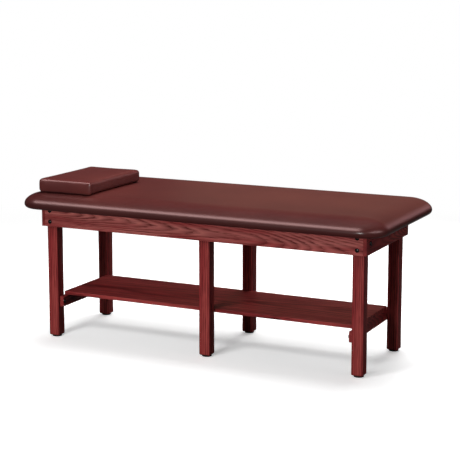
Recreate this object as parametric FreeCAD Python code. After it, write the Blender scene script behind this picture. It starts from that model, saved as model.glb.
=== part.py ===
"""A six-legged wooden treatment table with an upholstered top, a low shelf and a loose pillow.

Millimetres, +Z up. The origin is on the floor under the centre of the upholstered top.
+X runs along the table towards the foot end, +Y towards its back.
"""
import FreeCAD, Part
import math
import os
from collections import namedtuple

Vector = FreeCAD.Vector
X_AXIS = Vector(1, 0, 0)
Y_AXIS = Vector(0, 1, 0)
Z_AXIS = Vector(0, 0, 1)

# Upholstered top
top_length = 1988.0
top_width = 868.0
top_height = 787.0
top_corner_radius = 122.0
top_lower_roll = 21.0
top_edge_run = 140.0
top_edge_fall = 2.1
top_edge_round = 2.0
foam_thickness = 63.5
deck_thickness = 18.0
deck_edge_inset = 30.0
cover_thickness = 1.2
cover_rail_gap = 6.5
soft_clearance = 0.3

# Loose pillow
pillow_length = 320.0
pillow_width = 510.0
pillow_thickness = 70.0
pillow_corner_radius = 10.0
pillow_lower_roll = 12.0
pillow_edge_run = 90.0
pillow_edge_fall = 4.0
pillow_edge_round = 4.0
pillow_draw_in = 4.0
pillow_head_gap = 89.0
pillow_front_gap = 79.0

# Wooden frame
head_overhang = 74.0
foot_overhang = 114.0
side_overhang = 133.5
leg_side = 59.0
leg_edge_radius = 5.0
leg_foot_chamfer = 4.0
leg_ground_gap = 9.0
rail_height = 108.0
rail_thickness = 19.0
rail_edge_radius = 2.0

# Low shelf and the stretchers that carry it
shelf_top_height = 237.5
shelf_thickness = 18.0
shelf_leg_gap = 4.5
shelf_edge_radius = 2.0
stretcher_height = 55.5
stretcher_thickness = 20.0
stretcher_setback = 19.5
stretcher_edge_radius = 6.0

# Bolts, nuts, washers and threaded inserts
bolt_diameter = 10.0
bolt_head_diameter = 22.0
bolt_head_height = 6.0
bolt_head_rim = 1.2
bolt_spacing = 58.0
bolt_tail = 3.0
hole_clearance = 0.1
bolt_sides = 16
washer_diameter = 24.0
washer_thickness = 2.0
nut_across_flats = 17.0
nut_height = 8.0
insert_diameter = 14.0
insert_length = 25.0

# Steel angle brackets and their screws
bracket_flange = 40.0
bracket_width = 30.0
bracket_thickness = 3.0
bracket_hole_offset = 24.0
deck_bracket_offset = 450.0
screw_diameter = 5.0
screw_length = 16.0
screw_head_diameter = 9.0
screw_head_height = 3.0
small_round_sides = 12

# Levelling glides
glide_diameter = 50.0
glide_thickness = 6.5
glide_edge = 1.5
glide_neck_diameter = 22.0
glide_sides = 32
glide_floor = 3.0
glide_seat_gap = 0.3
stem_diameter = 10.0
stem_length = 50.0
stem_clearance = 0.05
stem_well = 12.0
stem_well_clearance = 1.0
glide_insert_diameter = 16.0
glide_insert_length = 22.0

# Heights and places worked out from the sizes above
top_base = top_height - foam_thickness - deck_thickness - 2 * cover_thickness
rail_top = top_base + cover_thickness
rail_bottom = rail_top - rail_height
deck_top = rail_top + deck_thickness
shelf_bottom = shelf_top_height - shelf_thickness
least_overhang = min(head_overhang, foot_overhang, side_overhang)
cover_turn_under = least_overhang - deck_edge_inset - cover_rail_gap
frame_centre_x = (head_overhang - foot_overhang) / 2
rail_outer_x = (top_length - head_overhang - foot_overhang) / 2
end_leg_outer = rail_outer_x - rail_thickness
end_leg_x = end_leg_outer - leg_side / 2
end_leg_inner = end_leg_outer - leg_side
rail_outer_y = top_width / 2 - side_overhang
leg_outer_y = rail_outer_y - rail_thickness
leg_row_y = leg_outer_y - leg_side / 2
leg_inner_y = leg_outer_y - leg_side
shelf_reach = leg_inner_y - shelf_leg_gap
stretcher_reach = leg_outer_y - stretcher_setback
middle_leg_x = rail_thickness / 2 + leg_side / 2
bolt_middle_z = rail_bottom + rail_height / 2
bolt_low_z = bolt_middle_z - bolt_spacing / 2
bolt_high_z = bolt_middle_z + bolt_spacing / 2
stretcher_bolt_z = shelf_bottom - stretcher_height / 2

LEG_PLACES = {
    "left": frame_centre_x - end_leg_x,
    "middle": frame_centre_x + middle_leg_x,
    "right": frame_centre_x + end_leg_x,
}
ROWS = {"front": -1, "back": 1}
ENDS = {"head": -1, "foot": 1}

# Angles round the lower roll, and shares of the upper edge's run, that shape a cushion
Profile = namedtuple("Profile", "lower upper")
OUTER_PROFILE = Profile((0, 45, 90), (0.02, 0.08, 0.2, 0.4, 0.68, 1.0))
INNER_PROFILE = Profile((0, 90), (0.08, 0.4, 1.0))

Site = namedtuple("Site", "seat direction")
Corner = namedtuple("Corner", "point along across")
Cushion = namedtuple(
    "Cushion",
    "length width corner base top lower_roll edge_run edge_fall edge_round draw_in centre",
)


# Shared helpers

def box(low, high):
    """A block between two opposite corners."""
    size = high - low
    return Part.makeBox(size.x, size.y, size.z, low)


def edges_along(shape, axis):
    """The straight edges of a shape that run along an axis."""
    return [
        edge for edge in shape.Edges
        if (edge.Vertexes[-1].Point - edge.Vertexes[0].Point).cross(axis).Length < 1e-6
    ]


def ring(sides, radius, height):
    """A closed polygon round Z that stands for a circle."""
    turns = [2 * math.pi * number / sides for number in range(sides + 1)]
    return Part.makePolygon([Vector(radius * math.cos(t), radius * math.sin(t), height) for t in turns])


def stacked(sides, rings):
    """A solid through (radius, height) rings stacked along Z."""
    return Part.makeLoft([ring(sides, radius, height) for radius, height in rings], True, True)


def rod(radius, length):
    """A small round bar or hole from the origin along +Z, drawn with flats."""
    return Part.Face(ring(small_round_sides, radius, 0)).extrude(Z_AXIS * length)


def clear_hole(radius, length):
    """A hole along +Z whose flats clear a round bar of the radius."""
    return rod(radius / math.cos(math.pi / small_round_sides), length)


def set_at(shape, site):
    """A copy of a shape made along +Z, turned to a site's direction and set on its seat."""
    placed = shape.copy()
    placed.Placement = FreeCAD.Placement(site.seat, FreeCAD.Rotation(Z_AXIS, site.direction))
    return placed


def shifted(site, distance):
    """A site moved along its own direction."""
    return Site(site.seat + site.direction * distance, site.direction)


def drilled(piece, holes):
    """A piece with every hole that reaches it cut out."""
    near = [hole for hole in holes if piece.BoundBox.intersect(hole.BoundBox)]
    return piece.cut(near) if near else piece


def export(name, shape):
    """Writes one piece of the table to its own file."""
    shape.exportStep("parts/" + name + ".step")


# Upholstery

def cushion_outline(half_x, half_y, corner, draw_in, centre, height):
    """A closed outline with round corners, whose sides are drawn in at their middles."""
    edges = []
    outward = [Vector(0, -1, 0), Vector(1, 0, 0), Vector(0, 1, 0), Vector(-1, 0, 0)]
    origin = Vector(centre.x, centre.y, height)
    for number, normal in enumerate(outward):
        along = outward[(number + 1) % 4]
        reach = half_y if number % 2 == 0 else half_x
        run = (half_x if number % 2 == 0 else half_y) - corner
        start = origin + normal * reach - along * run
        end = origin + normal * reach + along * run
        if draw_in > 0:
            edges.append(Part.Arc(start, origin + normal * (reach - draw_in), end).toShape())
        else:
            edges.append(Part.LineSegment(start, end).toShape())
        pivot = end - normal * corner
        bulge = pivot + (normal + along) * (corner / math.sqrt(2))
        edges.append(Part.Arc(end, bulge, pivot + along * corner).toShape())
    return Part.Wire(edges)


def cushion_stations(form, inward, profile):
    """Pairs of inset and height from the flat underside, round the nose and up the crowned edge."""
    lower_roll = form.lower_roll - inward
    base = form.base + inward
    nose = base + lower_roll
    rise = form.top - inward - nose
    stations = []
    for degrees in profile.lower:
        turn = math.radians(degrees)
        stations.append((lower_roll * (1 - math.sin(turn)), base + lower_roll * (1 - math.cos(turn))))
    for share in profile.upper:
        climb = (1 - (1 - share) ** form.edge_fall) ** (1 / form.edge_round)
        stations.append((form.edge_run * share, nose + rise * climb))
    return stations


def cushion_solid(form, inward, profile):
    """A crowned cushion, or the form inside it that lies a depth below its surface."""
    corner = form.corner - inward
    outlines = []
    for inset, height in cushion_stations(form, inward, profile):
        half_x = form.length / 2 - inward - inset
        half_y = form.width / 2 - inward - inset
        round_corner = max(corner - inset, corner / 5)
        outlines.append(cushion_outline(half_x, half_y, round_corner, form.draw_in, form.centre, height))
    return Part.makeLoft(outlines, True, True)


def cushion_cover(form):
    """The cover sewn round a cushion."""
    outside = cushion_solid(form, 0.0, OUTER_PROFILE)
    return outside.cut(cushion_solid(form, cover_thickness, INNER_PROFILE))


def slab(half_x, half_y, corner, bottom, top):
    """A flat board with round corners, centred on the upholstered top."""
    outline = cushion_outline(half_x, half_y, corner, 0.0, Vector(), bottom)
    return Part.Face(outline).extrude(Z_AXIS * (top - bottom))


def deck_slab(margin, bottom, top):
    """The plywood deck's plan, grown by a margin, between two heights."""
    inset = deck_edge_inset - margin
    return slab(top_length / 2 - inset, top_width / 2 - inset, top_corner_radius - inset, bottom, top)


def make_top():
    """The plywood deck, the foam rolled over its edge and the cover turned in under it."""
    form = Cushion(
        top_length, top_width, top_corner_radius, top_base, top_height, top_lower_roll,
        top_edge_run, top_edge_fall, top_edge_round, 0.0, Vector(),
    )
    deck = deck_slab(0.0, rail_top, deck_top)
    foam = cushion_solid(form, cover_thickness + soft_clearance, INNER_PROFILE)
    foam = foam.cut(deck_slab(soft_clearance, top_base, deck_top))
    opening = deck_slab(-cover_turn_under, top_base - cover_thickness, deck_top)
    return deck, foam, cushion_cover(form).cut(opening)


def make_pillow():
    """The loose pillow's sewn cover and the foam block inside it."""
    base = top_height + soft_clearance
    centre = Vector(
        pillow_head_gap + (pillow_length - top_length) / 2,
        pillow_front_gap + (pillow_width - top_width) / 2,
        0,
    )
    form = Cushion(
        pillow_length, pillow_width, pillow_corner_radius, base, base + pillow_thickness,
        pillow_lower_roll, pillow_edge_run, pillow_edge_fall, pillow_edge_round,
        pillow_draw_in, centre,
    )
    return cushion_cover(form), cushion_solid(form, cover_thickness + soft_clearance, INNER_PROFILE)


# Fasteners

def dome_bolt(length):
    """A bolt with a low round head, whose head seats on the surface that it enters."""
    radius = bolt_head_diameter / 2
    sag = bolt_head_height - bolt_head_rim
    curve = (radius ** 2 + sag ** 2) / (2 * sag)
    whole_angle = math.asin(radius / curve)
    rings = [(radius, 0)]
    for share in (1, 2 / 3, 1 / 3):
        angle = whole_angle * share
        rings.append((curve * math.sin(angle), curve * (1 - math.cos(angle)) - bolt_head_height))
    return stacked(bolt_sides, rings).fuse(rod(bolt_diameter / 2, length)).removeSplitter()


def washer():
    """A flat round washer."""
    disc = rod(washer_diameter / 2, washer_thickness)
    return disc.cut(rod(bolt_diameter / 2 + hole_clearance, washer_thickness))


def hex_nut():
    """A plain hexagon nut."""
    body = Part.Face(ring(6, nut_across_flats / math.sqrt(3), 0)).extrude(Z_AXIS * nut_height)
    return body.cut(rod(bolt_diameter / 2 + hole_clearance, nut_height))


def bolt_insert():
    """The threaded insert that takes a stretcher bolt, drawn as a plain sleeve."""
    return rod(insert_diameter / 2, insert_length).cut(rod(bolt_diameter / 2 + hole_clearance, insert_length))


def pan_screw():
    """A short screw with a flat round head."""
    shank = rod(screw_diameter / 2, screw_length)
    head = rod(screw_head_diameter / 2, screw_head_height)
    head.translate(Z_AXIS * -screw_head_height)
    return head.fuse(shank).removeSplitter()


def angle_bracket(corner):
    """A bent steel bracket set in a corner, with one hole in each flange."""
    sides = [
        (0, 0), (bracket_flange, 0), (bracket_flange, bracket_thickness),
        (bracket_thickness, bracket_thickness), (bracket_thickness, bracket_flange), (0, bracket_flange),
    ]
    width_axis = corner.along.cross(corner.across)
    edge_point = corner.point - width_axis * (bracket_width / 2)
    points = [edge_point + corner.along * u + corner.across * v for u, v in sides]
    body = Part.Face(Part.makePolygon(points + points[:1])).extrude(width_axis * bracket_width)
    hole = rod(screw_diameter / 2 + hole_clearance, screw_length)
    return body.cut([set_at(hole, shifted(site, -bracket_thickness)) for site in screw_sites(corner)])


def screw_sites(corner):
    """Where a bracket's two screws seat, and the way each is driven."""
    first = corner.point + corner.along * bracket_hole_offset + corner.across * bracket_thickness
    second = corner.point + corner.across * bracket_hole_offset + corner.along * bracket_thickness
    return [Site(first, corner.across * -1), Site(second, corner.along * -1)]


def rail_bolt_sites():
    """Bolt seats on the side rails, the end rails and the centre cross rail."""
    sites = []
    for row in ROWS.values():
        for end in ENDS.values():
            leg_x = frame_centre_x + end * end_leg_x
            for height in (bolt_low_z, bolt_high_z):
                sites.append(Site(Vector(leg_x, row * rail_outer_y, height), Y_AXIS * -row))
            seat_x = frame_centre_x + end * rail_outer_x
            sites.append(Site(Vector(seat_x, row * leg_row_y, bolt_middle_z), X_AXIS * -end))
        seat_x = frame_centre_x - rail_thickness / 2
        for height in (bolt_low_z, bolt_high_z):
            sites.append(Site(Vector(seat_x, row * leg_row_y, height), X_AXIS))
    return sites


def stretcher_bolt_sites():
    """Bolt seats on the inner faces of the two stretchers."""
    sites = []
    for end in ENDS.values():
        seat_x = frame_centre_x + end * (end_leg_inner - stretcher_thickness)
        for row in ROWS.values():
            sites.append(Site(Vector(seat_x, row * leg_row_y, stretcher_bolt_z), X_AXIS * end))
    return sites


def bracket_corners():
    """Corners of the frame that hold an angle bracket: under the deck, the cross rail and the shelf."""
    down = Z_AXIS * -1
    corners = []
    for row in ROWS.values():
        inward = Y_AXIS * -row
        for end in ENDS.values():
            place_x = frame_centre_x + end * deck_bracket_offset
            corners.append(Corner(Vector(place_x, row * leg_outer_y, rail_top), inward, down))
        cross_x = frame_centre_x - rail_thickness / 2
        corners.append(Corner(Vector(cross_x, row * leg_outer_y, bolt_middle_z), X_AXIS * -1, inward))
        corners.append(Corner(Vector(LEG_PLACES["middle"], row * leg_inner_y, shelf_bottom), inward, down))
    return corners


# Wooden frame

def board(low, high, axis, radius):
    """A board whose long edges are eased."""
    blank = box(low, high)
    return blank.makeFillet(radius, edges_along(blank, axis))


def make_leg(place_x, row):
    """A square post with eased edges, a chamfered foot and a well for the levelling stem."""
    half = leg_side / 2
    low = Vector(place_x - half, row * leg_row_y - half, leg_ground_gap)
    high = Vector(place_x + half, row * leg_row_y + half, rail_top)
    post = board(low, high, Z_AXIS, leg_edge_radius)
    foot = [edge for edge in post.Edges if edge.BoundBox.ZMax < leg_ground_gap + 1e-6]
    post = post.makeChamfer(leg_foot_chamfer, foot)
    under = Site(Vector(place_x, row * leg_row_y, leg_ground_gap), Z_AXIS)
    socket = set_at(rod(glide_insert_diameter / 2 + hole_clearance, glide_insert_length), under)
    well_depth = glide_floor + stem_length - leg_ground_gap + stem_well
    well = set_at(rod(stem_diameter / 2 + stem_well_clearance, well_depth), under)
    return post.cut([socket, well])


def make_rails():
    """The side rails, the end rails that cap them and the cross rail at the middle."""
    rails = {}
    for name, row in ROWS.items():
        faces = sorted((row * leg_outer_y, row * rail_outer_y))
        low = Vector(frame_centre_x - end_leg_outer, faces[0], rail_bottom)
        high = Vector(frame_centre_x + end_leg_outer, faces[1], rail_top)
        rails[name + "_rail"] = board(low, high, X_AXIS, rail_edge_radius)
    for name, end in ENDS.items():
        faces = sorted((end * end_leg_outer, end * rail_outer_x))
        low = Vector(frame_centre_x + faces[0], -rail_outer_y, rail_bottom)
        high = Vector(frame_centre_x + faces[1], rail_outer_y, rail_top)
        rails[name + "_rail"] = board(low, high, Y_AXIS, rail_edge_radius)
    low = Vector(frame_centre_x - rail_thickness / 2, -leg_outer_y, rail_bottom)
    high = Vector(frame_centre_x + rail_thickness / 2, leg_outer_y, rail_top)
    rails["centre_cross_rail"] = board(low, high, Y_AXIS, rail_edge_radius)
    return rails


def make_stretcher(end):
    """A stretcher lapped on the inner faces of two end legs, rounded along its inner top edge."""
    faces = sorted((end * end_leg_inner, end * (end_leg_inner - stretcher_thickness)))
    low = Vector(frame_centre_x + faces[0], -stretcher_reach, shelf_bottom - stretcher_height)
    high = Vector(frame_centre_x + faces[1], stretcher_reach, shelf_bottom)
    blank = box(low, high)
    inner_x = frame_centre_x + end * (end_leg_inner - stretcher_thickness)
    inner_top = [
        edge for edge in edges_along(blank, Y_AXIS)
        if abs(edge.BoundBox.XMin - inner_x) < 1e-6 and abs(edge.BoundBox.ZMax - shelf_bottom) < 1e-6
    ]
    return blank.makeFillet(stretcher_edge_radius, inner_top)


def make_shelf():
    """The shelf board that lies on the stretchers, between the front and back legs."""
    low = Vector(frame_centre_x - end_leg_inner, -shelf_reach, shelf_bottom)
    high = Vector(frame_centre_x + end_leg_inner, shelf_reach, shelf_top_height)
    return board(low, high, X_AXIS, shelf_edge_radius)


# Levelling glides

def make_glide_pad():
    """A round glide with a low neck and a blind hole for its stem, standing at the origin."""
    radius = glide_diameter / 2
    neck_top = leg_ground_gap - glide_seat_gap
    pad = stacked(glide_sides, [
        (radius - glide_edge, 0), (radius, glide_edge), (radius, glide_thickness - glide_edge),
        (radius - glide_edge, glide_thickness), (glide_neck_diameter / 2, neck_top),
    ])
    bore = clear_hole(stem_diameter / 2 + stem_clearance, neck_top)
    bore.translate(Z_AXIS * glide_floor)
    return pad.cut(bore)


def glide_insert():
    """The threaded insert in a leg's foot, with a bore in which the stem turns."""
    bore = clear_hole(stem_diameter / 2 + stem_clearance, glide_insert_length)
    return rod(glide_insert_diameter / 2, glide_insert_length).cut(bore)


def make_all():
    """Every piece of the table, by name."""
    bolt_length = rail_thickness + leg_side + washer_thickness + nut_height + bolt_tail
    stretcher_bolt_length = stretcher_thickness + insert_length
    rail_bolts = rail_bolt_sites()
    stretcher_bolts = stretcher_bolt_sites()
    corners = bracket_corners()
    screws = [site for corner in corners for site in screw_sites(corner)]

    bolt_hole = rod(bolt_diameter / 2 + hole_clearance, bolt_length)
    stretcher_hole = rod(bolt_diameter / 2 + hole_clearance, stretcher_thickness)
    insert_hole = rod(insert_diameter / 2 + hole_clearance, insert_length)
    screw_hole = rod(screw_diameter / 2 + hole_clearance, screw_length + hole_clearance)
    holes = [set_at(bolt_hole, site) for site in rail_bolts]
    holes += [set_at(stretcher_hole, site) for site in stretcher_bolts]
    holes += [set_at(insert_hole, shifted(site, stretcher_thickness)) for site in stretcher_bolts]
    holes += [set_at(screw_hole, site) for site in screws]

    deck, foam, cover = make_top()
    wood = {"top_deck": deck, "shelf": make_shelf()}
    wood.update(make_rails())
    for row_name, row in ROWS.items():
        for place_name, place_x in LEG_PLACES.items():
            wood[row_name + "_" + place_name + "_leg"] = make_leg(place_x, row)
    for name, end in ENDS.items():
        wood[name + "_stretcher"] = make_stretcher(end)
    pieces = {name: drilled(piece, holes) for name, piece in wood.items()}

    pieces["top_foam"] = foam
    pieces["top_cover"] = cover
    pieces["pillow_cover"], pieces["pillow_foam"] = make_pillow()

    grip = rail_thickness + leg_side
    groups = {
        "rail_bolts": [set_at(dome_bolt(bolt_length), site) for site in rail_bolts],
        "bolt_washers": [set_at(washer(), shifted(site, grip)) for site in rail_bolts],
        "bolt_nuts": [set_at(hex_nut(), shifted(site, grip + washer_thickness)) for site in rail_bolts],
        "stretcher_bolts": [set_at(dome_bolt(stretcher_bolt_length), site) for site in stretcher_bolts],
        "leg_inserts": [set_at(bolt_insert(), shifted(site, stretcher_thickness)) for site in stretcher_bolts],
        "angle_brackets": [angle_bracket(corner) for corner in corners],
        "bracket_screws": [set_at(pan_screw(), site) for site in screws],
        "glide_inserts": [],
    }
    for row_name, row in ROWS.items():
        for place_name, place_x in LEG_PLACES.items():
            name = row_name + "_" + place_name
            floor = Site(Vector(place_x, row * leg_row_y, 0), Z_AXIS)
            stem = Part.makeCylinder(stem_diameter / 2, stem_length)
            pieces[name + "_glide"] = set_at(make_glide_pad(), floor)
            pieces[name + "_stem"] = set_at(stem, shifted(floor, glide_floor))
            groups["glide_inserts"].append(set_at(glide_insert(), shifted(floor, leg_ground_gap)))
    for name, solids in groups.items():
        pieces[name] = Part.makeCompound(solids)
    return pieces


os.makedirs("parts", exist_ok=True)
for piece_name, piece_shape in make_all().items():
    export(piece_name, piece_shape)
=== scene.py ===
"""Looks for a padded treatment table: vinyl top and pillow, stained oak frame, steel fittings.

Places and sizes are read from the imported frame. This script adds the upholstery, the smooth
fasteners, the feet, the finishes and a plain studio.
"""

import logging
import math
from collections.abc import Sequence
from dataclasses import dataclass
from enum import Enum

import bmesh
import bpy
from bpy.types import Material, Node, NodeSocket, NodeTree, Object
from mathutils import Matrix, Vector


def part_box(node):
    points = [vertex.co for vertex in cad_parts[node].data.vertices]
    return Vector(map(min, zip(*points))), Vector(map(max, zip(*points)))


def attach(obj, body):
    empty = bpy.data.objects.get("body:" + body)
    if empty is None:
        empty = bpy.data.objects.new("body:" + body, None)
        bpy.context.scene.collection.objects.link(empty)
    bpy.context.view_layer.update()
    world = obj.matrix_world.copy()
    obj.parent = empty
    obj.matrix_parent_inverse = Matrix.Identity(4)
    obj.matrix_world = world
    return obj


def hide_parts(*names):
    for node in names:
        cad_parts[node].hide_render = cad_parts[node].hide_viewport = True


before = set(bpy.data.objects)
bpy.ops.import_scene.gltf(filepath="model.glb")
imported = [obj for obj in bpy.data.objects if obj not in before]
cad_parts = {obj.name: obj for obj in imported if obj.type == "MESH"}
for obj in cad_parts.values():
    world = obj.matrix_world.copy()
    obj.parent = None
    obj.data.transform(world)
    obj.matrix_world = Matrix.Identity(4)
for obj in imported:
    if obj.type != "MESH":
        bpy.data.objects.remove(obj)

log = logging.getLogger("treatment_table")

MM = 0.001
LEGS = tuple(f"{row}_{place}" for row in ("front", "back") for place in ("left", "middle", "right"))

Span = tuple[float, float]
Triple = tuple[float, float, float]
Skin = tuple[list, list]
Feed = Node | NodeSocket | float | tuple
UNIT: Span = (0.0, 1.0)

# Turned forms end in a ring this small at their axis.
AXIS_RADIUS = 0.2 * MM
# Points of a CAD mesh that lie closer than this are one point.
WELD_GAP = 0.001 * MM


# Meshes


def new_object(name: str, vertices: list, faces: list, material: Material | None = None,
               sharp_degrees: float = 35.0) -> Object:
    """Make a smooth shaded mesh object at the origin.

    Args:
        name: name of the object.
        vertices: points in metres.
        faces: vertex numbers of each face.
        material: finish of all faces, if any.
        sharp_degrees: edges that turn by more stay crisp.

    Returns:
        The object, linked to the scene.
    """
    mesh = bpy.data.meshes.new(name)
    mesh.from_pydata([tuple(v) for v in vertices], [], faces)
    mesh.update()
    if faces:
        mesh.shade_smooth()
        mesh.set_sharp_from_angle(angle=math.radians(sharp_degrees))
    if material:
        mesh.materials.append(material)
    piece = bpy.data.objects.new(name, mesh)
    bpy.context.scene.collection.objects.link(piece)
    log.info("made %s", name)
    return piece


def loft(loops: list[list[Vector]], cap_start: bool = True, cap_end: bool = True) -> Skin:
    """Join closed loops of equal length into a skin.

    Args:
        loops: loops of points, each ordered the same way round.
        cap_start: close the first loop with one face.
        cap_end: close the last loop with one face.

    Returns:
        Vertices and faces.
    """
    count = len(loops[0])
    vertices = [point for loop in loops for point in loop]
    faces = []
    for row in range(len(loops) - 1):
        for i in range(count):
            j = (i + 1) % count
            low, high = row * count, (row + 1) * count
            faces.append((low + i, low + j, high + j, high + i))
    if cap_start:
        faces.append(tuple(reversed(range(count))))
    if cap_end:
        last = (len(loops) - 1) * count
        faces.append(tuple(range(last, last + count)))
    return vertices, faces


def quarter_turn(steps: int) -> list[float]:
    """Give the angles of a quarter turn in radians, both ends included.

    Args:
        steps: parts of the turn.

    Returns:
        The angles.
    """
    return [math.radians(90 * i / steps) for i in range(steps + 1)]


def lathe(profile: list[Span], steps: int = 40, caps: bool = True) -> Skin:
    """Turn a profile about the Z axis.

    Args:
        profile: radius and height pairs in metres, from the bottom up.
        steps: sides of the turned form.
        caps: close both ends with a face.

    Returns:
        Vertices and faces.
    """
    turns = [2 * math.pi * i / steps for i in range(steps)]
    loops = [[Vector((radius * math.cos(a), radius * math.sin(a), height)) for a in turns]
             for radius, height in profile]
    return loft(loops, caps, caps)


def bake(piece: Object) -> None:
    """Turn a piece with modifiers into a plain mesh.

    Args:
        piece: object whose modifiers are applied and removed.
    """
    graph = bpy.context.evaluated_depsgraph_get()
    mesh = bpy.data.meshes.new_from_object(piece.evaluated_get(graph))
    piece.modifiers.clear()
    piece.data = mesh


# Node trees


def linear(code: str) -> tuple[float, float, float, float]:
    """Turn an sRGB hex code into linear colour.

    Args:
        code: colour such as "#7a3236".

    Returns:
        Red, green, blue and full opacity for a shader socket.
    """
    parts = [int(code[i:i + 2], 16) / 255 for i in (1, 3, 5)]
    curve = [p / 12.92 if p <= 0.04045 else ((p + 0.055) / 1.055) ** 2.4 for p in parts]
    return (*curve, 1.0)


class Graph:
    """Node tree that is filled one node at a time."""

    def __init__(self, tree: NodeTree) -> None:
        """Empty a tree.

        Args:
            tree: the node tree to fill.
        """
        tree.nodes.clear()
        self.tree = tree

    def add(self, kind: str, inputs: dict[str | int, Feed] | None = None, **settings) -> Node:
        """Add one node, set its properties, and fill or link its inputs.

        Args:
            kind: type name of the node.
            inputs: what each input gets: a value, a socket, or a node whose first output is linked.
            settings: node properties by name.

        Returns:
            The new node.
        """
        node = self.tree.nodes.new(kind)
        for name, value in settings.items():
            setattr(node, name, value)
        for key, value in (inputs or {}).items():
            source = value.outputs[0] if isinstance(value, Node) else value
            if isinstance(source, NodeSocket):
                self.tree.links.new(source, node.inputs[key])
            else:
                node.inputs[key].default_value = source
        return node

    def place(self) -> NodeSocket:
        """Return the place on a piece, in metres."""
        return self.add("ShaderNodeTexCoord").outputs["Object"]

    def maths(self, operation: str, first: Feed, *others: Feed) -> Node:
        """Join values from the left by Math nodes.

        Args:
            operation: name of the operation.
            first: first value, or the only one.
            others: further values.

        Returns:
            The last node.
        """
        result = first
        for other in others or (0.0,):
            result = self.add("ShaderNodeMath", {0: result, 1: other}, operation=operation)
        return result

    def ramp(self, factor: Feed, stops: Sequence[tuple[float, str]]) -> Node:
        """Add a colour ramp.

        Args:
            factor: value that drives the ramp.
            stops: places from 0 to 1 with their sRGB hex codes.

        Returns:
            The node.
        """
        node = self.add("ShaderNodeValToRGB", {"Fac": factor})
        elements = node.color_ramp.elements
        while len(elements) < len(stops):
            elements.new(0.5)
        for element, (place, code) in zip(elements, stops):
            element.position = place
            element.color = linear(code)
        return node

    def map_range(self, value: Feed, source: Span = UNIT, target: Span = UNIT, **settings) -> Node:
        """Map a value from one span to another and hold it there.

        Args:
            value: value to map.
            source: span that comes in.
            target: span that it becomes.
            settings: node properties by name.

        Returns:
            The node.
        """
        return self.add("ShaderNodeMapRange", {
            "Value": value, "From Min": source[0], "From Max": source[1],
            "To Min": target[0], "To Max": target[1]}, **settings)

    def mix(self, share: Feed, first: Feed, second: Feed) -> NodeSocket:
        """Mix two colours.

        Args:
            share: share of the second colour.
            first: first colour.
            second: second colour.

        Returns:
            The mixed colour.
        """
        inputs = {"Factor": share, "A": first, "B": second}
        return self.add("ShaderNodeMix", inputs, data_type="RGBA").outputs["Result"]

    def principled(self, inputs: dict[str | int, Feed]) -> None:
        """Add a principled shader and make it the surface.

        Args:
            inputs: what its inputs get.
        """
        shader = self.add("ShaderNodeBsdfPrincipled", inputs)
        self.add("ShaderNodeOutputMaterial", {"Surface": shader})

    def end(self, row: Feed, material: Feed) -> None:
        """Make a row of instances real, give it a material and send it out of a geometry tree.

        Args:
            row: the instances.
            material: the material.
        """
        real = self.add("GeometryNodeRealizeInstances", {0: row})
        finished = self.add("GeometryNodeSetMaterial", {"Geometry": real, "Material": material})
        self.add("NodeGroupOutput", {0: finished})

    def grow(self, piece: Object, values: dict) -> None:
        """Run a geometry tree on a piece and keep the result as a plain mesh.

        Args:
            piece: object that the tree starts from.
            values: values of the tree's inputs by name.
        """
        modifier = piece.modifiers.new(self.tree.name, "NODES")
        modifier.node_group = self.tree
        for item in self.tree.interface.items_tree:
            if item.name in values:
                modifier[item.identifier] = values[item.name]
        bake(piece)


def new_material(name: str) -> tuple[Material, Graph]:
    """Make a material with an empty graph.

    Args:
        name: name of the material.

    Returns:
        The material and its graph.
    """
    material = bpy.data.materials.new(name)
    material.use_nodes = True
    return material, Graph(material.node_tree)


def geometry_graph(name: str, inputs: dict[str, str]) -> Graph:
    """Make a geometry tree with one geometry output.

    Args:
        name: name of the tree.
        inputs: kinds of socket by input name.

    Returns:
        Its graph.
    """
    tree = bpy.data.node_groups.new(name, "GeometryNodeTree")
    for label, kind in inputs.items():
        tree.interface.new_socket(label, in_out="INPUT", socket_type=f"NodeSocket{kind}")
    tree.interface.new_socket("Geometry", in_out="OUTPUT", socket_type="NodeSocketGeometry")
    return Graph(tree)


# Finishes


@dataclass(frozen=True)
class VinylFinish:
    """Burgundy upholstery vinyl with a pressed grain and a satin face."""

    colour: str = "#592926"
    deep_colour: str = "#512423"
    patch: float = 300 * MM
    patch_span: Span = (0.3, 0.7)
    grain: float = 2.6 * MM
    grain_depth: float = 0.3 * MM
    grain_strength: float = 0.12
    roughness: float = 0.31
    specular: float = 0.4

    def material(self) -> Material:
        """Return the vinyl as a new material."""
        material, graph = new_material("burgundy_vinyl")
        place = graph.place()
        # Slow change of tone over the cover, as on stretched vinyl.
        patches = graph.add("ShaderNodeTexNoise", {"Vector": place, "Scale": 1 / self.patch})
        tones = list(zip(self.patch_span, (self.deep_colour, self.colour)))
        # Pressed pebble grain, drawn a little coarser than the real one so that it shows.
        pebbles = graph.add("ShaderNodeTexVoronoi", {"Vector": place, "Scale": 1 / self.grain},
                            feature="SMOOTH_F1")
        bump = graph.add("ShaderNodeBump", {
            "Height": pebbles, "Strength": self.grain_strength, "Distance": self.grain_depth})
        graph.principled({
            "Base Color": graph.ramp(patches, tones), "Normal": bump,
            "Roughness": self.roughness, "Specular IOR Level": self.specular})
        return material


class Lie(Enum):
    """Row axes along a board's length, across its width and through its depth."""

    ALONG_TABLE = ("X", "Z", "Y")
    ACROSS_TABLE = ("Y", "Z", "X")
    UPRIGHT = ("Z", "X", "Y")
    FLAT = ("X", "Y", "Z")


@dataclass(frozen=True)
class Heart:
    """Line of a tree's heart beside a board, in metres and in metres for each metre of length."""

    across: float
    depth: float
    dive: float
    slope: float
    wander: float
    sway: float


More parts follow.
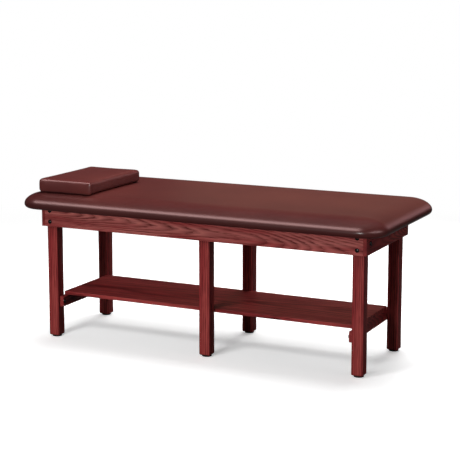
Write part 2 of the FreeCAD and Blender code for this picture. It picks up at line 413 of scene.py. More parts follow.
class Cut(Enum):
    """How a board was sawn, by where the heart lay."""

    PLAIN = Heart(0.0, 0.075, 0.055, 0.05, 0.05, 0.014)
    STRAIGHT = Heart(0.2, 0.2, 0.004, 0.006, 0.006, 0.012)


@dataclass(frozen=True)
class Palette:
    """Colours of a wood, from its pores to its palest growth."""

    pore: str
    dark: str
    middle: str
    pale: str


STAINED_OAK = Palette("#43080a", "#4a090b", "#86262a", "#aa4844")
# Paler copy of the stained oak for the side rails. It balances their closer growth lines, and it is
# painted light that stands in for the light the rails lack under the top's overhang.
RAIL_OAK_PAINTED_LIGHTER = Palette("#4a0c0e", "#4f0a0c", "#a23a3b", "#d07a72")
BARE_PLYWOOD = Palette("#8a6a45", "#b08c62", "#c6a579", "#d4b88e")


@dataclass(frozen=True)
class Board:
    """Graph of one board, with sockets for the place along, across and through the board."""

    graph: Graph
    along: NodeSocket
    across: NodeSocket
    depth: NodeSocket

    def streaks(self, size: Span) -> Node:
        """Give noise that is drawn out along the grain.

        Args:
            size: length and width of a streak in metres.

        Returns:
            The noise.
        """
        length, width = size
        drawn = self.graph.add("ShaderNodeCombineXYZ", {
            0: self.graph.maths("DIVIDE", self.along, length),
            1: self.graph.maths("DIVIDE", self.across, width),
            2: self.graph.maths("DIVIDE", self.depth, width)})
        return self.graph.add("ShaderNodeTexNoise", {"Vector": drawn, "Scale": 1.0})


@dataclass(frozen=True)
class WoodFinish:
    """Board with growth rings about a wandering heart, pores and a satin lacquer.

    The tone, fade, pore and sways are streaks, given by their length and width.
    """

    name: str
    lie: Lie
    cut: Cut
    palette: Palette
    ring: float
    seed: int
    centre: Vector
    tone: Span = (500 * MM, 40 * MM)
    tone_span: Span = (0.3, 0.7)
    line_span: Span = (0.4, 1.0)
    fade: Span = (240 * MM, 12 * MM)
    fade_span: Span = (0.34, 0.6)
    fade_strength: Span = (0.25, 1.0)
    pore: Span = (70 * MM, 2.4 * MM)
    pore_growth: float = 1.15
    pore_span: Span = (0.42, 0.72)
    pore_strength: float = 0.25
    pore_depth: float = 0.15 * MM
    slow_sway: Span = (320 * MM, 45 * MM)
    quick_sway: Span = (90 * MM, 16 * MM)
    quick_share: float = 0.4
    path_scale: float = 1.1
    path_detail: float = 1.0
    seed_step: float = 3.7
    roughness: float = 0.42
    specular: float = 0.16
    coat: float = 0.03
    coat_roughness: float = 0.3

    def material(self) -> Material:
        """Return the wood of one board as a new material."""
        material, graph = new_material(self.name)
        moved = graph.add("ShaderNodeVectorMath", {0: graph.place(), 1: self.centre}, operation="SUBTRACT")
        axes = graph.add("ShaderNodeSeparateXYZ", {0: moved}).outputs
        board = Board(graph, *(axes[name] for name in self.lie.value))
        rings = self.rings(board)
        tones = list(zip(self.tone_span, (self.palette.middle, self.palette.pale)))
        ground = graph.ramp(board.streaks(self.tone), tones)
        # Each growth line darkens up to a crisp edge, and fades in and out along the board.
        line = graph.map_range(rings, self.line_span)
        strength = graph.map_range(board.streaks(self.fade), self.fade_span, self.fade_strength)
        dark_share = graph.maths("MULTIPLY", line, strength)
        lined = graph.mix(dark_share, ground, linear(self.palette.dark))
        # Pores open in the early growth of each ring.
        early = graph.maths("SUBTRACT", self.pore_growth, rings)
        open_pores = graph.maths("MULTIPLY", early, board.streaks(self.pore))
        pore_share = graph.map_range(open_pores, self.pore_span)
        bump = graph.add("ShaderNodeBump", {
            "Height": pore_share, "Strength": self.pore_strength, "Distance": -self.pore_depth})
        graph.principled({
            "Base Color": graph.mix(pore_share, lined, linear(self.palette.pore)), "Normal": bump,
            "Roughness": self.roughness, "Specular IOR Level": self.specular,
            "Coat Weight": self.coat, "Coat Roughness": self.coat_roughness})
        return material

    def rings(self, board: Board) -> Node:
        """Give the growth within each ring, from early at 0 to late at 1.

        Args:
            board: the board.

        Returns:
            The growth.
        """
        graph = board.graph
        heart = self.cut.value
        turn = -1 if self.seed % 2 else 1
        slow = graph.add("ShaderNodeCombineXYZ", {0: board.along, 1: self.seed_step * self.seed})
        path = graph.add("ShaderNodeTexNoise", {
            "Vector": slow, "Scale": self.path_scale, "Detail": self.path_detail})
        offset = graph.map_range(path, target=(heart.depth - heart.wander, heart.depth + heart.wander))
        dive = graph.maths("MULTIPLY", board.along, turn * heart.dive)
        deep = graph.maths("ADD", board.depth, offset, dive)
        slow_sway = graph.maths("MULTIPLY", board.streaks(self.slow_sway), heart.sway)
        quick_sway = graph.maths("MULTIPLY", board.streaks(self.quick_sway), self.quick_share * heart.sway)
        lean = graph.maths("MULTIPLY", board.along, turn * heart.slope)
        wide = graph.maths("ADD", board.across, slow_sway, quick_sway, lean, heart.across)
        squares = [graph.maths("MULTIPLY", side, side) for side in (deep, wide)]
        radius = graph.maths("SQRT", graph.maths("ADD", *squares))
        return graph.maths("FRACT", graph.maths("DIVIDE", radius, self.ring))


@dataclass(frozen=True)
class PlainFinish:
    """Metal or plastic of one colour, with a fine unevenness in its shine."""

    name: str
    colour: str
    metallic: float
    roughness: float
    specular: float = 0.5
    patch: float = 4 * MM
    unevenness: float = 0.06

    def material(self) -> Material:
        """Return the finish as a new material."""
        material, graph = new_material(self.name)
        grain = graph.add("ShaderNodeTexNoise", {"Vector": graph.place(), "Scale": 1 / self.patch})
        spread = (self.roughness - self.unevenness, self.roughness + self.unevenness)
        graph.principled({
            "Roughness": graph.map_range(grain, target=spread), "Base Color": linear(self.colour),
            "Metallic": self.metallic, "Specular IOR Level": self.specular})
        return material


# Black painted bolt heads, bright plated fittings and moulded feet.
BLACK_STEEL = PlainFinish("black_painted_steel", "#080707", 0.0, 0.26)
ZINC_STEEL = PlainFinish("zinc_plated_steel", "#b4b4ae", 1.0, 0.38)
GLIDE_NYLON = PlainFinish("black_nylon", "#0f0f0f", 0.0, 0.5, 0.3)


# Upholstery


@dataclass
class RoundedPlan:
    """Rectangle with round corners, seen from above."""

    centre: Vector
    half_x: float
    half_y: float
    radius: float
    arc_steps: int = 20
    step: float = 24 * MM
    least_radius: float = 3 * MM

    def inset_at(self, point: Vector) -> float:
        """Give how far a point lies inside the outline.

        Args:
            point: point of which only X and Y are read.

        Returns:
            Distance in metres.
        """
        out_x = abs(point.x - self.centre.x) - (self.half_x - self.radius)
        out_y = abs(point.y - self.centre.y) - (self.half_y - self.radius)
        if out_x > 0 and out_y > 0:
            return self.radius - math.hypot(out_x, out_y)
        return self.radius - max(out_x, out_y)

    def loop(self, inset: float, height: float) -> list[Vector]:
        """Give the outline at an inset.

        Args:
            inset: distance inside the widest outline.
            height: Z of the loop.

        Returns:
            Points in order, anticlockwise from above.
        """
        radius = max(self.radius - inset, self.least_radius)
        reach_x = self.half_x - inset - radius
        reach_y = self.half_y - inset - radius
        steps_x, steps_y = (max(2, round(2 * half / self.step)) for half in (self.half_x, self.half_y))
        points = []
        for corner, (side_x, side_y) in enumerate(((1, 1), (-1, 1), (-1, -1), (1, -1))):
            middle = self.centre + Vector((side_x * reach_x, side_y * reach_y, 0))
            for i in range(self.arc_steps + 1):
                angle = math.radians(90 * (corner + i / self.arc_steps))
                points.append(Vector((middle.x + radius * math.cos(angle),
                                      middle.y + radius * math.sin(angle), height)))
            side = points[-1]
            along_x = corner % 2 == 0
            run = Vector((-2 * side_x * reach_x, 0, 0) if along_x else (0, -2 * side_y * reach_y, 0))
            steps = steps_x if along_x else steps_y
            points.extend(side + run * (k / steps) for k in range(1, steps))
        return points


@dataclass
class TableTop:
    """Upholstered top: vinyl pulled over foam and a deck, turned under and stapled."""

    corner_radius: float = 122 * MM
    lower_roll: float = 21 * MM
    edge_run: float = 140 * MM
    edge_fall: float = 2.1
    edge_round: float = 2.0
    roll_steps: int = 7
    rise_steps: int = 22
    rise_crowding: float = 2.2
    flat_steps: int = 6
    middle_gap: float = 4 * MM
    sharp_degrees: float = 60.0
    hem_inset: float = 67 * MM
    hem_thickness: float = 1.2 * MM
    gather_depth: float = 1.6 * MM
    gathers: int = 9
    gather_reach: float = 1.6
    gather_fullness: float = 0.6
    staple_inset: float = 46 * MM
    staple_sink: float = 0.1 * MM
    staple_corner_steps: int = 16
    staple_spacing: float = 38 * MM
    staple_size: Triple = (11 * MM, 1.3 * MM, 0.8 * MM)

    def __post_init__(self) -> None:
        """Read the outer box of the cover."""
        self.low, self.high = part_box("top_cover")
        half = (self.high - self.low) / 2
        self.plan = RoundedPlan((self.low + self.high) / 2, half.x, half.y, self.corner_radius)

    def profile(self) -> list[Span]:
        """Return the section of the edge from the hem to the middle, as inset and height pairs."""
        base = self.low.z
        nose = base + self.lower_roll
        section = [(self.hem_inset, base + self.hem_thickness), (self.hem_inset, base)]
        section.append(((self.hem_inset + self.lower_roll) / 2, base))
        for turn in quarter_turn(self.roll_steps):
            section.append((self.lower_roll * (1 - math.sin(turn)),
                            nose - self.lower_roll * math.cos(turn)))
        rise = [i / self.rise_steps for i in range(1, self.rise_steps + 1)]
        insets = [self.edge_run * share ** self.rise_crowding for share in rise]
        flat = self.plan.half_y - self.edge_run - self.middle_gap
        insets += [self.edge_run + flat * i / self.flat_steps for i in range(1, self.flat_steps + 1)]
        section += [(inset, self.height_at(inset)) for inset in insets]
        return section

    def height_at(self, inset: float) -> float:
        """Give the height of the upper face.

        Args:
            inset: distance inside the nose of the edge.

        Returns:
            Z in metres.
        """
        nose = self.low.z + self.lower_roll
        share = min(max(inset / self.edge_run, 0), 1)
        climb = (1 - (1 - share) ** self.edge_fall) ** (1 / self.edge_round)
        return nose + (self.high.z - nose) * climb

    def gathered(self, point: Vector) -> Vector:
        """Press the small folds of the corners into the lower roll.

        Args:
            point: point on the smooth cover.

        Returns:
            The moved point.
        """
        centre = self.plan.centre
        reach = Vector((self.plan.half_x - self.corner_radius, self.plan.half_y - self.corner_radius))
        out = Vector((abs(point.x - centre.x) - reach.x, abs(point.y - centre.y) - reach.y))
        if out.x <= 0 or out.y <= 0:
            return point
        turn = math.atan2(out.y, out.x) / (math.pi / 2)
        lowness = min(max(1 - (point.z - self.low.z) / (self.gather_reach * self.lower_roll), 0), 1)
        ripple = abs(math.sin(math.pi * self.gathers * turn)) ** self.gather_fullness
        fold = ripple * math.sin(math.pi * turn)
        outward = Vector((math.copysign(out.x, point.x - centre.x),
                          math.copysign(out.y, point.y - centre.y), 0))
        return point - outward.normalized() * (self.gather_depth * lowness * (1 - fold))

    def build(self, vinyl: Material) -> Object:
        """Make the cover.

        Args:
            vinyl: finish of the cover.

        Returns:
            The piece.
        """
        loops = [self.plan.loop(inset, height) for inset, height in self.profile()]
        loops = [[self.gathered(point) for point in loop] for loop in loops]
        vertices, faces = loft(loops, cap_start=False)
        cover = new_object("top_upholstery", vertices, faces, vinyl, self.sharp_degrees)
        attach(cover, "frame")
        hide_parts("top_cover", "top_foam")
        return cover

    def build_staples(self, steel: Material) -> None:
        """Set staples along the hem, as one mesh.

        Args:
            steel: finish of the staples.
        """
        graph = geometry_graph("staple_row", {
            "Length": "Float", "Width": "Float", "Corner Radius": "Float", "Height": "Float",
            "Spacing": "Float", "Staple Size": "Vector", "Material": "Material"})
        given = graph.add("NodeGroupInput").outputs
        outline = graph.add("GeometryNodeCurvePrimitiveQuadrilateral", {
            "Width": given["Length"], "Height": given["Width"]})
        rounded = graph.add("GeometryNodeFilletCurve", {
            "Curve": outline, "Count": self.staple_corner_steps,
            "Radius": given["Corner Radius"]}, mode="POLY")
        path = graph.add("GeometryNodeResampleCurve", {
            "Curve": rounded, "Length": given["Spacing"]}, mode="LENGTH")
        turned = graph.add("FunctionNodeAlignRotationToVector", {
            "Vector": graph.add("GeometryNodeInputTangent")}, axis="X", pivot_axis="Z")
        staple = graph.add("GeometryNodeMeshCube", {"Size": given["Staple Size"]})
        row = graph.add("GeometryNodeInstanceOnPoints", {
            "Points": path, "Instance": staple, "Rotation": turned})
        lift = graph.add("ShaderNodeCombineXYZ", {2: given["Height"]})
        placed = graph.add("GeometryNodeTransform", {"Geometry": row, "Translation": lift})
        graph.end(placed, given["Material"])
        staples = new_object("hem_staples", [], [])
        graph.grow(staples, {
            "Length": 2 * (self.plan.half_x - self.staple_inset),
            "Width": 2 * (self.plan.half_y - self.staple_inset),
            "Corner Radius": self.corner_radius - self.staple_inset,
            "Height": self.low.z - self.staple_size[2] / 2 + self.staple_sink,
            "Spacing": self.staple_spacing, "Staple Size": self.staple_size, "Material": steel})
        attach(staples, "frame")


@dataclass
class Pillow:
    """Loose foam pillow: a block swollen inside its vinyl cover."""

    corner_radius: float = 10 * MM
    lower_roll: float = 12 * MM
    upper_roll: float = 13 * MM
    crown: float = 2.5 * MM
    lower_steps: int = 5
    upper_steps: int = 6
    crown_steps: int = 10
    corner_steps: int = 10
    side_step: float = 12 * MM
    middle_gap: float = 4 * MM
    slack: float = 1 * MM
    draw_in: float = 4 * MM
    voxel: float = 5.5 * MM
    pressure: float = 1.5
    stiffness: float = 20.0
    frames: int = 16
    most_swell: float = 2 * MM
    soften_rounds: int = 16

    def __post_init__(self) -> None:
        """Read the outer box of the pillow."""
        self.low, self.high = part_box("pillow_cover")
        half = (self.high - self.low) / 2
        self.plan = RoundedPlan((self.low + self.high) / 2, half.x - self.slack, half.y - self.slack,
                                self.corner_radius, self.corner_steps, self.side_step)

    def block(self) -> Skin:
        """Return the vertices and faces of the block before it swells."""
        base, top = self.low.z, self.high.z - self.crown
        section = []
        for turn in quarter_turn(self.lower_steps):
            section.append((self.lower_roll * (1 - math.sin(turn)),
                            base + self.lower_roll * (1 - math.cos(turn))))
        for turn in quarter_turn(self.upper_steps):
            section.append((self.upper_roll * (1 - math.cos(turn)),
                            top - self.upper_roll * (1 - math.sin(turn))))
        reach = self.plan.half_x - self.upper_roll - self.middle_gap
        for i in range(1, self.crown_steps + 1):
            share = i / self.crown_steps
            section.append((self.upper_roll + reach * share, top + self.crown * (1 - (1 - share) ** 2)))
        loops = [self.plan.loop(inset, height) for inset, height in section]
        return loft([[self.drawn_in(point) for point in loop] for loop in loops])

    def drawn_in(self, point: Vector) -> Vector:
        """Pull the sides in between the corners, as a sewn cover does.

        Args:
            point: point on the straight sided block.

        Returns:
            The moved point.
        """
        off = point - self.plan.centre
        share_x = off.x / self.plan.half_x
        share_y = off.y / self.plan.half_y
        pull_x = self.draw_in * share_x * (1 - share_y ** 2)
        pull_y = self.draw_in * share_y * (1 - share_x ** 2)
        return point - Vector((pull_x, pull_y, 0))

    def build(self, vinyl: Material, top: TableTop) -> None:
        """Make the pillow.

        Args:
            vinyl: finish of the cover.
            top: table top that the pillow lies on.
        """
        vertices, faces = self.block()
        piece = new_object("pillow_upholstery", vertices, faces, vinyl)
        remesh = piece.modifiers.new("even_mesh", "REMESH")
        remesh.mode = "VOXEL"
        remesh.voxel_size = self.voxel
        bake(piece)
        self.swell(piece)
        self.settle(piece, top)
        soften = piece.modifiers.new("soften", "SMOOTH")
        soften.iterations = self.soften_rounds
        smooth = piece.modifiers.new("smooth", "SUBSURF")
        smooth.levels = 1
        smooth.render_levels = 1
        bake(piece)
        piece.data.shade_smooth()
        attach(piece, "pillow")
        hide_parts("pillow_cover", "pillow_foam")

    def swell(self, piece: Object) -> None:
        """Swell the cover by a short cloth simulation, and keep its base from sinking.

        Args:
            piece: pillow mesh, changed in place.
        """
        cloth = piece.modifiers.new("cover", "CLOTH")
        cloth.settings.use_pressure = True
        cloth.settings.uniform_pressure_force = self.pressure
        cloth.settings.bending_stiffness = self.stiffness
        cloth.settings.effector_weights.gravity = 0
        cloth.point_cache.frame_end = self.frames
        scene = bpy.context.scene
        for moment in range(1, self.frames + 1):
            scene.frame_set(moment)
        graph = bpy.context.evaluated_depsgraph_get()
        swollen = [vertex.co.copy() for vertex in piece.evaluated_get(graph).data.vertices]
        piece.modifiers.clear()
        scene.frame_set(1)
        for vertex, target in zip(piece.data.vertices, swollen):
            move = target - vertex.co
            if move.length > self.most_swell:
                move *= self.most_swell / move.length
            vertex.co += move
            vertex.co.z = max(vertex.co.z, self.low.z)

    def settle(self, piece: Object, top: TableTop) -> None:
        """Let the soft base sink to the crowned top, and its upper part less.

        Args:
            piece: pillow mesh, changed in place.
            top: table top that the pillow lies on.
        """
        depth = self.high.z - self.low.z
        for vertex in piece.data.vertices:
            fall = top.high.z - top.height_at(top.plan.inset_at(vertex.co))
            softness = max(1 - (vertex.co.z - self.low.z) / depth, 0)
            vertex.co.z -= fall * softness


# Fasteners


def loose_boxes(node: str) -> list[tuple[Vector, Vector]]:
    """Give the box of each separate solid of a node.

    Args:
        node: name of a CAD node.

    Returns:
        Lowest and highest corner of each solid.
    """
    mesh = bmesh.new()
    mesh.from_mesh(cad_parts[node].data)
    bmesh.ops.remove_doubles(mesh, verts=mesh.verts, dist=WELD_GAP)
    seen = set()
    boxes = []
    for start in mesh.verts:
        if start in seen:
            continue
        found = [start]
        for vertex in found:
            seen.add(vertex)
            others = [edge.other_vert(vertex) for edge in vertex.link_edges]
            found.extend(other for other in others if other not in seen)
            seen.update(others)
        places = [vertex.co for vertex in found]
        boxes.append((Vector(map(min, zip(*places))), Vector(map(max, zip(*places)))))
    mesh.free()
    return boxes


@dataclass(frozen=True)
class Seat:
    """Place and direction of one fastener: the point under its head, and the way its head faces."""

    point: Vector
    aim: Vector


@dataclass
class Bolts:
    """Round headed bolts through the rails or stretchers into the legs."""

    node: str
    slot: str = "black_steel"
    head_radius: float = 11 * MM
    head_height: float = 6 * MM
    rim: float = 1.2 * MM
    rim_edge: float = 0.3 * MM
    dome_steps: int = 12
    dome_degrees: float = 88.0
    shank_radius: float = 5 * MM
    lead: float = 1 * MM
    thread_pitch: float = 1.5 * MM
    thread_depth: float = 0.7 * MM
    threaded: float = 18 * MM

    def seat(self, low: Vector, high: Vector) -> Seat:
        """Find the seat of one bolt, whose head is at the end where it is wider.

        Args:
            low: lowest corner of the bolt.
            high: highest corner of the bolt.

        Returns:
            The seat.
        """
        size = high - low
        axis = max(range(3), key=lambda i: size[i])
        middle = (low + high) / 2
        wide = {1: 0.0, -1: 0.0}
        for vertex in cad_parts[self.node].data.vertices:
            if all(low[i] - MM <= vertex.co[i] <= high[i] + MM for i in range(3)):
                off = vertex.co - middle
                end = 1 if off[axis] > 0 else -1
                off[axis] = 0
                wide[end] = max(wide[end], off.length)
        aim = Vector((0, 0, 0))
        aim[axis] = 1 if wide[1] > wide[-1] else -1
        return Seat(middle + aim * (size[axis] / 2 - self.head_height), aim)

    def model(self, size: Vector) -> Skin:
        """Give one bolt with a domed head and a threaded tail.

        Args:
            size: size of its CAD box.

        Returns:
            Vertices and faces, with the seat at the origin and the head along +Z.
        """
        length = max(size) - self.head_height
        profile = [(AXIS_RADIUS, -length), (self.shank_radius - self.lead, -length)]
        turns = int(self.threaded / self.thread_pitch)
        for i in range(turns):
            foot = -length + self.lead + i * self.thread_pitch
            profile.append((self.shank_radius - self.thread_depth, foot))
            profile.append((self.shank_radius, foot + self.thread_pitch / 2))
        profile += [(self.shank_radius, 0.0), (self.head_radius - self.rim_edge, 0.0),
                    (self.head_radius, self.rim_edge), (self.head_radius, self.rim)]
        dome = self.head_height - self.rim
        for i in range(1, self.dome_steps + 1):
            turn = math.radians(self.dome_degrees * i / self.dome_steps)
            profile.append((self.head_radius * math.cos(turn), self.rim + dome * math.sin(turn)))
        return lathe(profile)


@dataclass
class Washers:
    """Flat washers between the nuts and the legs."""

    node: str = "bolt_washers"
    slot: str = "zinc_steel"
    outer_radius: float = 12 * MM
    inner_radius: float = 5.25 * MM
    edge: float = 0.3 * MM

    def seat(self, low: Vector, high: Vector) -> Seat:
        """Find the middle of one washer.

        Args:
            low: lowest corner of the washer.
            high: highest corner of the washer.

        Returns:
            The seat.
        """
        size = high - low
        aim = Vector((0, 0, 0))
        aim[min(range(3), key=lambda i: size[i])] = 1
        return Seat((low + high) / 2, aim)

    def model(self, size: Vector) -> Skin:
        """Give one washer about the origin.

        Args:
            size: size of its CAD box.

        Returns:
            Vertices and faces.
        """
        half = min(size) / 2
        ring = [(self.inner_radius, -half), (self.outer_radius - self.edge, -half),
                (self.outer_radius, self.edge - half), (self.outer_radius, half - self.edge),
                (self.outer_radius - self.edge, half), (self.inner_radius, half),
                (self.inner_radius, -half)]
        return lathe(ring, caps=False)


def seating_graph() -> Graph:
    """Return the graph that sets a fastener on each point of a mesh, turned to the attribute "aim"."""
    graph = geometry_graph("fasteners_on_seats", {
        "Seats": "Geometry", "Fastener": "Object", "Material": "Material"})
    given = graph.add("NodeGroupInput").outputs
    aim = graph.add("GeometryNodeInputNamedAttribute", {"Name": "aim"}, data_type="FLOAT_VECTOR")
    turned = graph.add("FunctionNodeAlignRotationToVector", {"Vector": aim}, axis="Z")
    model = graph.add("GeometryNodeObjectInfo", {"Object": given["Fastener"]})
    row = graph.add("GeometryNodeInstanceOnPoints", {
        "Points": given["Seats"], "Instance": model.outputs["Geometry"], "Rotation": turned})
    graph.end(row, given["Material"])
    return graph


def set_fasteners(name: str, kind: Bolts | Washers, graph: Graph, material: Material) -> None:
    """Set one kind of fastener on all its seats, as one mesh.

    Args:
        name: name of the piece.
        kind: kind of fastener.
        graph: seating graph.
        material: finish.
    """
    boxes = loose_boxes(kind.node)
    low, high = boxes[0]
    single = new_object(f"{name}_single", *kind.model(high - low))
    seats = [kind.seat(*box) for box in boxes]
    row = new_object(name, [seat.point for seat in seats], [])
    aims = row.data.attributes.new("aim", "FLOAT_VECTOR", "POINT")
    for entry, seat in zip(aims.data, seats):
        entry.vector = seat.aim
    graph.grow(row, {"Fastener": single, "Material": material})
    bpy.data.objects.remove(single)
    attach(row, "frame")
    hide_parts(kind.node)


# Feet


@dataclass
class LevellingFoot:
    """Round glide on a threaded stem under one leg."""

    leg: str
    edge: float = 1.5 * MM
    bevel_share: float = 0.3
    neck_radius: float = 11 * MM
    neck_height: float = 2.2 * MM
    neck_shares: Span = (0.4, 0.7)
    flare: float = 2 * MM
    glide_sides: int = 56
    glide_sharp: float = 40.0
    thread_pitch: float = 1.5 * MM
    thread_depth: float = 0.8 * MM
    rows_a_turn: int = 4
    stem_sides: int = 28
    stem_sharp: float = 30.0

    def build_glide(self, nylon: Material) -> None:
        """Make the glide.

        Args:
            nylon: finish of the glide.
        """
        node = f"{self.leg}_glide"
        low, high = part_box(node)
        middle = (low + high) / 2
        radius = (high.x - low.x) / 2
        height = high.z - low.z
        rim = height - self.neck_height
        bevel = self.bevel_share * self.edge
        flared, necked = (rim + share * self.neck_height for share in self.neck_shares)
        profile = [(AXIS_RADIUS, 0.0), (radius - self.edge, 0.0), (radius - bevel, bevel),
                   (radius, self.edge), (radius, rim - self.edge), (radius - bevel, rim - bevel),
                   (radius - self.edge, rim), (self.neck_radius + self.flare, flared),
                   (self.neck_radius, necked), (self.neck_radius, height), (AXIS_RADIUS, height)]
        vertices, faces = lathe(profile, self.glide_sides)
        place = Vector((middle.x, middle.y, low.z))
        piece = new_object(f"{node}_turned", [v + place for v in vertices], faces, nylon, self.glide_sharp)
        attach(piece, node)
        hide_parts(node)

    def build_stem(self, steel: Material) -> None:
        """Make the stem with its thread.

        Args:
            steel: finish of the stem.
        """
        node = f"{self.leg}_stem"
        low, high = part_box(node)
        middle = (low + high) / 2
        radius = (high.x - low.x) / 2
        rows = round((high.z - low.z) / (self.thread_pitch / self.rows_a_turn))
        loops = []
        for row in range(rows + 1):
            height = low.z + (high.z - low.z) * row / rows
            loop = []
            for i in range(self.stem_sides):
                share = i / self.stem_sides
                phase = (height / self.thread_pitch - share) % 1.0
                reach = radius - self.thread_depth * abs(2 * phase - 1)
                turn = 2 * math.pi * share
                loop.append(Vector((middle.x + reach * math.cos(turn),
                                    middle.y + reach * math.sin(turn), height)))
            loops.append(loop)
        piece = new_object(f"{node}_threaded", *loft(loops), steel, self.stem_sharp)
        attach(piece, node)
        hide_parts(node)


# Wood and fittings that keep their CAD solids


@dataclass
class WoodFrame:
    """Boards and posts of the table, each with its own cut of wood."""

    side_ring: float = 6.5 * MM
    cross_ring: float = 5.5 * MM
    leg_ring: float = 9 * MM
    shelf_ring: float = 26 * MM
    deck_ring: float = 14 * MM

    def finishes(self) -> dict[str, WoodFinish]:
        """Return the finish of each wooden node by its name, each with a seed of its own."""
        crossing = ("head_rail", "foot_rail", "centre_cross_rail", "head_stretcher", "foot_stretcher")
        boards = {}
        # The side rails take the oak that is painted paler in place of light.
        for seed, node in enumerate(("front_rail", "back_rail")):
            boards[node] = (Lie.ALONG_TABLE, Cut.PLAIN, RAIL_OAK_PAINTED_LIGHTER, self.side_ring, seed)
        for seed, node in enumerate(crossing, 2):
            boards[node] = (Lie.ACROSS_TABLE, Cut.PLAIN, STAINED_OAK, self.cross_ring, seed)
        for seed, leg in enumerate(LEGS, 8):
            boards[f"{leg}_leg"] = (Lie.UPRIGHT, Cut.STRAIGHT, STAINED_OAK, self.leg_ring, seed)
        boards["shelf"] = (Lie.FLAT, Cut.PLAIN, STAINED_OAK, self.shelf_ring, 7)
        boards["top_deck"] = (Lie.FLAT, Cut.PLAIN, BARE_PLYWOOD, self.deck_ring, 20)
        middles = {node: sum(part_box(node), Vector((0, 0, 0))) / 2 for node in boards}
        return {node: WoodFinish(f"wood_{node}", *given, middles[node]) for node, given in boards.items()}


def dress_node(node: str, material: Material) -> None:
    """Give a CAD node one material.

    Args:
        node: name of the node.
        material: its finish.
    """
    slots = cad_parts[node].data.materials
    slots.clear()
    slots.append(material)
    log.info("dressed %s", node)


# Studio


@dataclass(frozen=True)
class SoftLight:
    """Soft box that lights the table, or panel that is only mirrored in it."""

    name: str
    place: Triple
    target: Triple
    size: Span
    power: float
    colour: str = "#ffffff"
    mirrored: bool = False
    flagged: bool = False

    def build(self, top: Object) -> None:
        """Hang the light.

        Args:
            top: upholstered top, which a flagged light spares.
        """
        lamp = bpy.data.lights.new(self.name, "AREA")
        lamp.shape = "RECTANGLE"
        lamp.size, lamp.size_y = self.size
        lamp.energy = self.power
        lamp.color = linear(self.colour)[:3]
        light = bpy.data.objects.new(self.name, lamp)
        light.location = self.place
        aim = Vector(self.target) - Vector(self.place)
        light.rotation_euler = aim.to_track_quat("-Z", "Y").to_euler()
        light.visible_glossy = self.mirrored
        light.visible_diffuse = not self.mirrored
        bpy.context.scene.collection.objects.link(light)
        # Light linking stands in for a flag on a stand.
        if self.flagged:
            spared = bpy.data.collections.new(f"{self.name}_spares")
            spared.objects.link(top)
            light.light_linking.receiver_collection = spared
            spared.collection_objects[0].light_linking.link_state = "EXCLUDE"


# Five soft boxes light the table; the panels are only mirrored in its vinyl and lacquer.
STUDIO_LIGHTS = (
    SoftLight("overhead", (0, 0.9, 3.4), (0, 0, 0.4), (3.4, 3.4), 195),
    SoftLight("front_left", (-0.7, -2.8, 2.8), (-0.5, -0.1, 0.25), (1.0, 1.0), 52, flagged=True),
    SoftLight("right_fill", (4.0, -0.6, 1.3), (0.5, 0, 0.4), (1.2, 1.2), 13),
    SoftLight("left_fill", (-4.0, -0.3, 1.3), (-0.5, 0, 0.4), (1.2, 1.2), 13),
    SoftLight("back_fill", (0.6, 3.6, 1.2), (0, 0.2, 0.4), (1.6, 1.6), 22),
    SoftLight("front_panel", (-2.2, -2.7, 4.7), (-2.2, -0.4, 0.75), (5.0, 2.3), 350, "#ffdcda", True),
    SoftLight("right_panel", (4.8, -1.6, 2.8), (0.9, -0.3, 0.75), (4.6, 1.6), 130, "#ffe4e4", True),
    SoftLight("foot_panel", (2.8, 6.0, 2.6), (1.0, 0, 0.75), (2.4, 2.0), 17, "#ffc4c8", True),
    SoftLight("back_panel", (-0.5, 5.5, 2.4), (0.9, 0, 0.75), (5.0, 1.6), 5, "#ffd2b0", True),
)


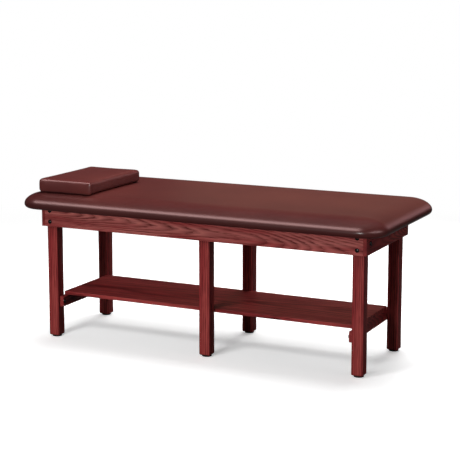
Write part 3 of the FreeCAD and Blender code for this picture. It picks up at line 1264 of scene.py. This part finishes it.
@dataclass
class Studio:
    """White floor, pale surround, soft lights and the camera of the photograph."""

    floor_half: float = 40.0
    near: float = 2.0
    far: float = 4.5
    floor_glow: float = 0.37
    floor_bounce: str = "#484848"
    key_strength: float = 1.32
    key_width: float = 4.0
    key_elevation: float = 10.0
    surround: tuple[tuple[float, str], ...] = ((0.0, "#ffffff"), (0.3, "#909090"), (0.7, "#404040"))
    surround_strength: Span = (0.1, 0.04)
    camera_place: Triple = (3.01904, -6.15567, 1.90238)
    camera_turn: float = 25.93
    camera_pitch: float = 8.83
    camera_shift: float = -0.1
    camera_reach: float = 200.0
    lens: float = 106.34

    def build(self, top: Object) -> None:
        """Set up everything round the table.

        Args:
            top: upholstered top, which a flagged light spares.
        """
        self.build_floor()
        self.build_world()
        self.build_key()
        for light in STUDIO_LIGHTS:
            light.build(top)
        self.build_camera()
        bpy.context.scene.view_settings.view_transform = "Standard"

    def build_key(self) -> None:
        """Set a far key light straight in front, so that each front leg shades the leg behind it."""
        lamp = bpy.data.lights.new("key", "SUN")
        lamp.energy = self.key_strength
        lamp.angle = math.radians(self.key_width)
        key = bpy.data.objects.new("key", lamp)
        key.rotation_euler = (math.radians(90 - self.key_elevation), 0, 0)
        bpy.context.scene.collection.objects.link(key)

    def build_floor(self) -> None:
        """Lay the floor, which fades to plain white away from the table and throws back little light."""
        half = self.floor_half
        corners = [(-half, -half, 0), (half, -half, 0), (half, half, 0), (-half, half, 0)]
        material, graph = new_material("white_floor")
        reach = graph.add("ShaderNodeVectorMath", {0: graph.place()}, operation="LENGTH").outputs["Value"]
        fade = graph.map_range(reach, (self.near, self.far), interpolation_type="SMOOTHSTEP")
        seen = graph.add("ShaderNodeLightPath").outputs["Is Camera Ray"]
        matt = graph.add("ShaderNodeBsdfDiffuse", {"Color": linear("#ffffff")})
        glow = graph.add("ShaderNodeEmission", {"Strength": self.floor_glow})
        lit = graph.add("ShaderNodeAddShader", {0: matt, 1: glow})
        white = graph.add("ShaderNodeEmission", {"Strength": 1.0})
        shown = graph.add("ShaderNodeMixShader", {0: fade, 1: lit, 2: white})
        bounce = graph.add("ShaderNodeBsdfDiffuse", {"Color": linear(self.floor_bounce)})
        mixed = graph.add("ShaderNodeMixShader", {0: seen, 1: bounce, 2: shown})
        graph.add("ShaderNodeOutputMaterial", {"Surface": mixed})
        floor = new_object("studio_floor", corners, [(0, 1, 2, 3)], material)

    def build_world(self) -> None:
        """Give a surround that is pale in front near the floor, and darker behind and overhead."""
        world = bpy.data.worlds.new("studio_surround")
        bpy.context.scene.world = world
        world.use_nodes = True
        graph = Graph(world.node_tree)
        way = graph.add("ShaderNodeTexCoord").outputs["Generated"]
        axes = graph.add("ShaderNodeSeparateXYZ", {0: way}).outputs
        shade = graph.ramp(axes["Z"], self.surround)
        strength = graph.map_range(axes["Y"], (-1.0, 1.0), self.surround_strength)
        seen = graph.add("ShaderNodeLightPath").outputs["Is Camera Ray"]
        ambient = graph.add("ShaderNodeBackground", {"Color": shade, "Strength": strength})
        white = graph.add("ShaderNodeBackground", {"Strength": 1.0, "Color": linear("#ffffff")})
        mixed = graph.add("ShaderNodeMixShader", {0: seen, 1: ambient, 2: white})
        graph.add("ShaderNodeOutputWorld", {"Surface": mixed})

    def build_camera(self) -> None:
        """Place the camera where the photograph was taken from."""
        data = bpy.data.cameras.new("photo_camera")
        data.lens = self.lens
        data.shift_y = self.camera_shift
        data.clip_end = self.camera_reach
        camera = bpy.data.objects.new("photo_camera", data)
        camera.location = self.camera_place
        camera.rotation_euler = (math.radians(90 - self.camera_pitch), 0, math.radians(self.camera_turn))
        bpy.context.scene.collection.objects.link(camera)
        bpy.context.scene.camera = camera


def main() -> None:
    """Build the looks in order."""
    logging.basicConfig(level=logging.INFO, format="%(message)s")
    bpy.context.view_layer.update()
    vinyl = VinylFinish().material()
    black = BLACK_STEEL.material()
    zinc = ZINC_STEEL.material()
    nylon = GLIDE_NYLON.material()
    top = TableTop()
    cover = top.build(vinyl)
    top.build_staples(zinc)
    Pillow().build(vinyl, top)
    seating = seating_graph()
    for node in ("rail_bolts", "stretcher_bolts"):
        set_fasteners(f"{node}_round", Bolts(node), seating, black)
    set_fasteners("washers_round", Washers(), seating, zinc)
    for leg in LEGS:
        foot = LevellingFoot(leg)
        foot.build_glide(nylon)
        foot.build_stem(zinc)
    for node, finish in WoodFrame().finishes().items():
        dress_node(node, finish.material())
    for node in ("bolt_nuts", "leg_inserts", "angle_brackets", "bracket_screws", "glide_inserts"):
        dress_node(node, zinc)
    Studio().build(cover)


if __name__ == "__main__":
    main()
